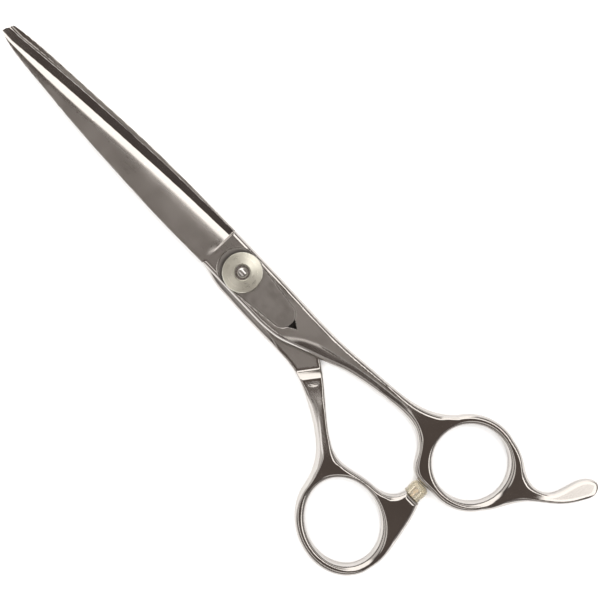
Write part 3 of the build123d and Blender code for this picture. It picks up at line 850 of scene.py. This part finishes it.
# ------------------------------------------------------------------ materials
class Nodes:
    """Short ways to add and wire shader nodes."""

    def __init__(self, tree):
        self.tree = tree

    def add(self, kind, inputs=(), **settings):
        node = self.tree.nodes.new(kind)
        for name, value in settings.items():
            setattr(node, name, value)
        self.fill(node, dict(inputs))
        return node

    def fill(self, node, inputs):
        for name, value in inputs.items():
            self.put(node.inputs[name], value)

    def put(self, socket, value):
        if isinstance(value, bpy.types.NodeSocket):
            self.tree.links.new(value, socket)
        else:
            socket.default_value = value

    def math(self, operation, a, b=0.0, clamp=False):
        return self.add("ShaderNodeMath", {0: a, 1: b}, operation=operation, use_clamp=clamp).outputs[0]

    def vector(self, operation, a, b):
        out = self.add("ShaderNodeVectorMath", {0: a, 1: b}, operation=operation)
        return out.outputs["Value" if operation == "DOT_PRODUCT" else "Vector"]

    def radius(self, where):
        """Distance from the pivot axis."""
        flat = self.vector("MULTIPLY", where, (1.0, 1.0, 0.0))
        return self.add("ShaderNodeVectorMath", {0: flat}, operation="LENGTH").outputs["Value"]

    def span(self, value, a, b, low=0.0, high=1.0):
        """value from a..b to low..high, eased and held at both ends."""
        inputs = {"Value": value, "From Min": a, "From Max": b, "To Min": low, "To Max": high}
        node = self.add("ShaderNodeMapRange", inputs, interpolation_type="SMOOTHSTEP")
        return node.outputs["Result"]

    def vary(self, noise, low=0.0, high=1.0):
        """Noise from its usual lowest and highest to low..high."""
        return self.span(noise, 0.3, 0.7, low, high)

    def noise(self, vector, scale, detail=3.0, rough=0.5):
        inputs = {"Vector": vector, "Scale": scale, "Detail": detail, "Roughness": rough}
        return self.add("ShaderNodeTexNoise", inputs).outputs["Fac"]

    def streaks(self, where, stretch, detail=3.0, rough=0.5):
        """Noise with its own scale along each axis."""
        return self.noise(self.vector("MULTIPLY", where, stretch), 1.0, detail, rough)

    def mix(self, factor, a, b):
        node = self.add("ShaderNodeMix", {"Factor": factor}, data_type="RGBA")
        self.put(node.inputs[6], a)
        self.put(node.inputs[7], b)
        return node.outputs[2]

    def blend(self, factor, a, b):
        """a where factor is 0, b where it is 1, for plain numbers."""
        return self.add("ShaderNodeMapRange", {"Value": factor, "To Min": a, "To Max": b}).outputs["Result"]


def new_material(name):
    """A material, its nodes, its shader and the place on its object in millimetres."""
    material = bpy.data.materials.new(name)
    material.use_nodes = True
    material.node_tree.nodes.clear()
    n = Nodes(material.node_tree)
    shader = n.add("ShaderNodeBsdfPrincipled")
    out = n.add("ShaderNodeOutputMaterial")
    material.node_tree.links.new(shader.outputs[0], out.inputs["Surface"])
    where = n.vector("MULTIPLY", n.add("ShaderNodeTexCoord").outputs["Object"], (1 / MM,) * 3)
    return material, n, shader, where


def colour(slot, gain=1.0):
    """The record's base colour for a slot, lighter or darker by a gain."""
    item = next(i for i in frame["record"]["materials"] if i["slot"] == slot)
    return tuple(min(1.0, c * gain) for c in item["base_color"][:3]) + (1.0,)


def wear(n):
    """1 on outer edges and corners, 0 on flats."""
    return n.span(n.add("ShaderNodeNewGeometry").outputs["Pointiness"], 0.52, 0.62)


def bump(n, height, strength, distance_mm):
    """Normal of a surface raised by a height texture."""
    inputs = {"Height": height, "Strength": strength, "Distance": distance_mm * MM}
    return n.add("ShaderNodeBump", inputs).outputs["Normal"]


SATIN_ROUGH = 0.305
POLISHED_ROUGH = 0.1
WORN_GAIN = 1.15        # edges worn bright
NOTCH_SHADE_GAIN = 0.12       # the pry notch, painted dark as shade in the cavity


def forged_steel():
    """Satin ground blades and ride, polished shanks and rings, a satin finger rest and painted shade in the
    pry notch.
    """
    material, n, shader, where = new_material("forged_steel")
    polish = n.add("ShaderNodeAttribute", attribute_name="polish").outputs["Fac"]
    lines = n.streaks(where, (0.35, 9.0, 9.0), 4.0, 0.6)
    fine = n.streaks(where, (1.2, 30.0, 30.0), 2.0)
    cloud = n.noise(where, 0.11, 4.0)
    scratch = n.streaks(where, (0.12, 2.4, 2.4), 8.0, 0.75)
    edge = wear(n)
    rough = n.blend(polish, SATIN_ROUGH, POLISHED_ROUGH)
    rough = n.math("ADD", rough, n.vary(lines, -0.02, 0.02))
    rough = n.math("ADD", rough, n.span(cloud, 0.35, 0.65, -0.02, 0.02))
    rough = n.math("ADD", rough, n.span(scratch, 0.6, 0.72, 0.0, 0.04))
    rough = n.math("SUBTRACT", rough, n.math("MULTIPLY", edge, 0.05), clamp=True)
    tint = n.mix(n.vary(cloud), colour("forged_steel", 0.85), colour("forged_steel", 0.92))
    tint = n.mix(n.math("MULTIPLY", edge, 0.6), tint, colour("forged_steel", WORN_GAIN))
    # Painted shade: where polish is -1, in the pry notch, the steel is tinted dark.
    tint = n.mix(n.span(polish, -0.1, -0.9), tint, colour("forged_steel", NOTCH_SHADE_GAIN))
    height = n.math("ADD", lines, n.math("MULTIPLY", fine, 0.5))
    height = n.math("MULTIPLY", height, n.blend(polish, 1.0, 0.15))
    height = n.math("ADD", height, n.math("MULTIPLY", n.noise(where, 0.5, 2.0), 0.25))
    n.fill(shader, {
        "Base Color": tint,
        "Roughness": rough,
        "Metallic": 1.0,
        "Specular Tint": (0.7, 0.68, 0.66, 1.0),
        "Normal": bump(n, height, 0.25, 0.012),
    })
    return material


def turned_metal(slot, rough, rings, gain, radial, depth=0.006):
    """Metal turned on a lathe: fine rings round the pivot axis and the fan-shaped gleam they give."""
    material, n, shader, where = new_material(slot)
    z = n.add("ShaderNodeSeparateXYZ", {0: where}).outputs["Z"]
    along_r = n.math("MULTIPLY", n.radius(where), rings)
    along_z = n.math("MULTIPLY", z, rings)
    spot = n.add("ShaderNodeCombineXYZ", {"X": along_r, "Y": along_z})
    groove = n.noise(spot.outputs[0], 1.0, 3.0, 0.6)
    cloud = n.noise(where, 0.5, 4.0)
    speck = n.noise(where, 6.0, 3.0)
    edge = wear(n)
    level = n.math("ADD", n.vary(groove, rough - 0.05, rough + 0.06), n.span(cloud, 0.35, 0.65, -0.03, 0.04))
    level = n.math("ADD", level, n.span(speck, 0.6, 0.75, 0.0, 0.06))
    tint = n.mix(n.vary(cloud), colour(slot, 0.95 * gain), colour(slot, 1.04 * gain))
    round_axis = n.add("ShaderNodeTangent", direction_type="RADIAL", axis="Z")
    n.fill(shader, {
        "Base Color": n.mix(n.math("MULTIPLY", edge, 0.5), tint, colour(slot, 1.2 * gain)),
        "Roughness": n.math("SUBTRACT", level, n.math("MULTIPLY", edge, 0.06), clamp=True),
        "Metallic": 1.0,
        "Anisotropic": radial,
        "Tangent": round_axis.outputs[0],
        "Normal": bump(n, groove, 0.3, depth),
    })
    return material


def brushed_metal(slot, rough, stretch, gain=1.0, blotch=0.05, depth=0.01, painted_shade=None):
    """Plain metal with straight fine marks and uneven tone.

    The last argument gives the inner and outer radius of a crescent of painted shade round the dial, on the
    pivot's side to the tip.
    """
    material, n, shader, where = new_material(slot)
    lines = n.streaks(where, stretch, 4.0, 0.6)
    cloud = n.noise(where, 0.6, 4.0)
    edge = wear(n)
    level = n.math("ADD", n.vary(lines, rough - 0.025, rough + 0.025), n.span(cloud, 0.35, 0.65, -0.02, 0.02))
    tint = n.mix(n.vary(cloud), colour(slot, (1 - blotch) * gain), colour(slot, (1 + blotch) * gain))
    tint = n.mix(n.math("MULTIPLY", edge, 0.5), tint, colour(slot, 1.25 * gain))
    # Painted shade: the plate is darkened in a crescent round the dial, where the dial's shadow falls.
    if painted_shade:
        inner, outer = painted_shade
        to_tip = n.add("ShaderNodeSeparateXYZ", {0: where}).outputs["X"]
        shade_crescent = n.math("MULTIPLY", n.span(n.radius(where), outer, inner), n.span(to_tip, 1.5, -2.5))
        tint = n.mix(n.math("MULTIPLY", shade_crescent, 0.75), tint, colour(slot, 0.15))
    n.fill(shader, {
        "Base Color": tint,
        "Roughness": n.math("SUBTRACT", level, n.math("MULTIPLY", edge, 0.01), clamp=True),
        "Metallic": 1.0,
        "Normal": bump(n, lines, 0.25, depth),
    })
    return material


def nylon():
    """Natural nylon, faintly mottled."""
    material, n, shader, where = new_material("nylon")
    cloud = n.noise(where, 0.8, 4.0)
    grain = n.noise(where, 9.0, 3.0)
    n.fill(shader, {
        "Base Color": n.mix(cloud, colour("nylon", 0.9), colour("nylon", 1.06)),
        "Roughness": n.vary(grain, 0.4, 0.58),
        "Subsurface Weight": 0.2,
        "Subsurface Scale": 0.5 * MM,
        "Normal": bump(n, grain, 0.2, 0.01),
    })
    return material


def silicone():
    """Translucent moulded silicone, a little dusty."""
    material, n, shader, where = new_material("clear_silicone")
    cloud = n.noise(where, 0.9, 4.0)
    grain = n.noise(where, 7.0, 3.0)
    scuffs = n.math("MULTIPLY", wear(n), 0.1)
    n.fill(shader, {
        "Base Color": n.mix(cloud, colour("clear_silicone", 1.1), colour("clear_silicone", 1.35)),
        "Roughness": n.math("ADD", n.vary(grain, 0.14, 0.3), scuffs),
        "Transmission Weight": 0.8,
        "IOR": 1.41,
        "Normal": bump(n, grain, 0.15, 0.02),
    })
    return material


MATERIALS = {
    "forged_steel": forged_steel(),
    "dial_steel": turned_metal("dial_steel", rough=0.32, rings=7.0, gain=0.85, radial=0.7, depth=0.02),
    "screw_steel": turned_metal("screw_steel", rough=0.2, rings=10.0, gain=1.1, radial=0.3),
    # The spring's plate gets a crescent of painted shade round the dial.
    "spring_steel": brushed_metal(
        "spring_steel", rough=0.34, stretch=(0.4, 4.0, 4.0), gain=0.8, blotch=0.03, depth=0.002,
        painted_shade=(5.5, 6.4),
    ),
    "nylon": nylon(),
    "bearing_bronze": turned_metal("bearing_bronze", rough=0.3, rings=8.0, gain=1.0, radial=0.3),
    "clear_silicone": silicone(),
    "post_metal": brushed_metal("post_metal", rough=0.4, stretch=(6.0, 0.8, 6.0), gain=0.9, blotch=0.1),
}

# ------------------------------------------------------------------ the pieces, each in place of its CAD node
# name, field, mesh step, body, CAD node, slot, and for the forged halves the heights that the mesh
# has to have a level at and the polish
PIECES = (
    ("finger_half_steel", finger_field, 0.25, "front_half", "finger_half", "forged_steel",
     (FINGER_Z + LAND_MID,), finger_polish),
    ("thumb_half_steel", thumb_field, 0.25, "rear_half", "thumb_half", "forged_steel",
     (THUMB_Z - LAND_MID,), thumb_polish),
    ("dial_turned", dial_field, 0.13, "dial", "tension_dial", "dial_steel"),
    ("screw_turned", screw_field, 0.14, "front_half", "pivot_screw", "screw_steel"),
    ("spring_leaf", spring_field, 0.15, "front_half", "leaf_spring", "spring_steel"),
    ("bumper_moulding", bumper_field, 0.14, "rear_half", "bumper", "clear_silicone"),
    ("bumper_pin", post_field, 0.12, "rear_half", "bumper_post", "post_metal"),
)
for piece in PIECES:
    make_piece(*piece)
RING_STEP = 0.1
for node, bore, body, slot in (
    ("dial_washer", THREAD_BORE_R, "dial", "nylon"),
    ("rear_washer", SHAFT_BORE_R, "rear_half", "nylon"),
    ("friction_washer", BUSH_BORE_R, "rear_half", "nylon"),
    ("pivot_bushing", SHAFT_BORE_R, "rear_half", "bearing_bronze"),
):
    make_piece(node + "_ring", ring_field(node, bore), RING_STEP, body, node, slot)
for part in frame["record"]["subparts"]:
    node = frame["nodes"][part["node"]]
    node.data.materials.clear()
    node.data.materials.append(MATERIALS[part["material_slot"]])

# ------------------------------------------------------------------ table, light and camera
TABLE_HALF = 3.0
TABLE_Z = -0.0001       # just under the shears, in metres
mesh = bpy.data.meshes.new("table")
corners = [(x * TABLE_HALF, y * TABLE_HALF, TABLE_Z) for x, y in ((-1, -1), (1, -1), (1, 1), (-1, 1))]
mesh.from_pydata(corners, [], [(0, 1, 2, 3)])
table = bpy.data.objects.new("table", mesh)
bpy.context.scene.collection.objects.link(table)
material, n, shader, where = new_material("table_paper")
grain = n.noise(where, 2.0, 3.0)
n.fill(shader, {
    "Base Color": n.mix(grain, (0.86, 0.86, 0.86, 1), (0.9, 0.9, 0.9, 1)),
    "Roughness": n.vary(grain, 0.8, 0.95),
    "Normal": bump(n, grain, 0.1, 0.02),
})
mesh.materials.append(material)

# The room that the steel reflects. Each pair of numbers is where a part of it begins and where it is
# full, on the X, Y or Z of the direction, or for the window on the cosine of the angle to it.
SURROUND_Z = (0.56, 0.44)       # pale below this height, brighter to the tips
STRIP_Y = ((0.2, 0.28), (0.56, 0.51))
NEAR_STRIP_Y = ((-0.22, -0.32), (-0.58, -0.5))
NEAR_STRIP_GAIN = 0.48
STRIPS_Z = (0.6, 0.75)
WINDOW_TOWARD = (-0.84, 0.42, 0.34)
WINDOW_SPAN = (0.82, 0.93)
WINDOW_GAIN = 0.9
CEILING_Z = (0.55, 0.97)
WALL_COLOUR = (0.1, 0.083, 0.077, 1)
CEILING_COLOUR = (0.135, 0.108, 0.094, 1)
LIGHT_COLOUR = (2.2, 2.11, 2.02, 1)

scene = bpy.context.scene
scene.view_settings.view_transform = "Standard"
world = bpy.data.worlds.new("studio")
scene.world = world
world.use_nodes = True
world.node_tree.nodes.clear()
n = Nodes(world.node_tree)
toward = n.add("ShaderNodeTexCoord").outputs["Generated"]
parts = n.add("ShaderNodeSeparateXYZ", {0: toward})
up = parts.outputs["Z"]
side = parts.outputs["Y"]
along = parts.outputs["X"]
pale = n.math("MULTIPLY", n.span(up, *SURROUND_Z), n.span(along, -0.3, 0.7, 0.38, 0.13))
strip, near = (
    n.math("MULTIPLY", n.span(side, *begin), n.span(side, *end)) for begin, end in (STRIP_Y, NEAR_STRIP_Y)
)
strips = n.math("ADD", strip, n.math("MULTIPLY", near, NEAR_STRIP_GAIN))
strips = n.math("MULTIPLY", strips, n.span(up, *STRIPS_Z))
window = n.span(n.vector("DOT_PRODUCT", toward, WINDOW_TOWARD), *WINDOW_SPAN)
window = n.math("MULTIPLY", window, WINDOW_GAIN)
bright = n.math("MAXIMUM", n.math("MAXIMUM", pale, strips), window)
dark = n.mix(n.span(up, *CEILING_Z), WALL_COLOUR, CEILING_COLOUR)
shade = n.add("ShaderNodeBackground", {"Color": n.mix(bright, dark, LIGHT_COLOUR), "Strength": 1.0})
out = n.add("ShaderNodeOutputWorld")
world.node_tree.links.new(shade.outputs[0], out.inputs["Surface"])

lamp = bpy.data.lights.new("overhead", "AREA")
lamp.shape = "SQUARE"
lamp.size = 1.2
lamp.energy = 18.0
overhead = bpy.data.objects.new("overhead", lamp)
overhead.location = (0.0, 0.0, 1.0)
overhead.visible_glossy = False
overhead.visible_camera = False
scene.collection.objects.link(overhead)

CAMERA_RISE = 0.45      # above the plane where the halves meet
CAMERA_XY = (0.0153, 0.0058)
CAMERA_TURN = 46.2      # degrees
VIEW_WIDTH = 0.155
lens = bpy.data.cameras.new("camera")
lens.angle = 2 * np.arctan(VIEW_WIDTH / 2 / CAMERA_RISE)
lens.clip_start = 0.01
camera = bpy.data.objects.new("camera", lens)
camera.location = (*CAMERA_XY, CAMERA_RISE + HALF_T * MM)
camera.rotation_euler = (0, 0, radians(CAMERA_TURN))
scene.collection.objects.link(camera)
scene.camera = camera
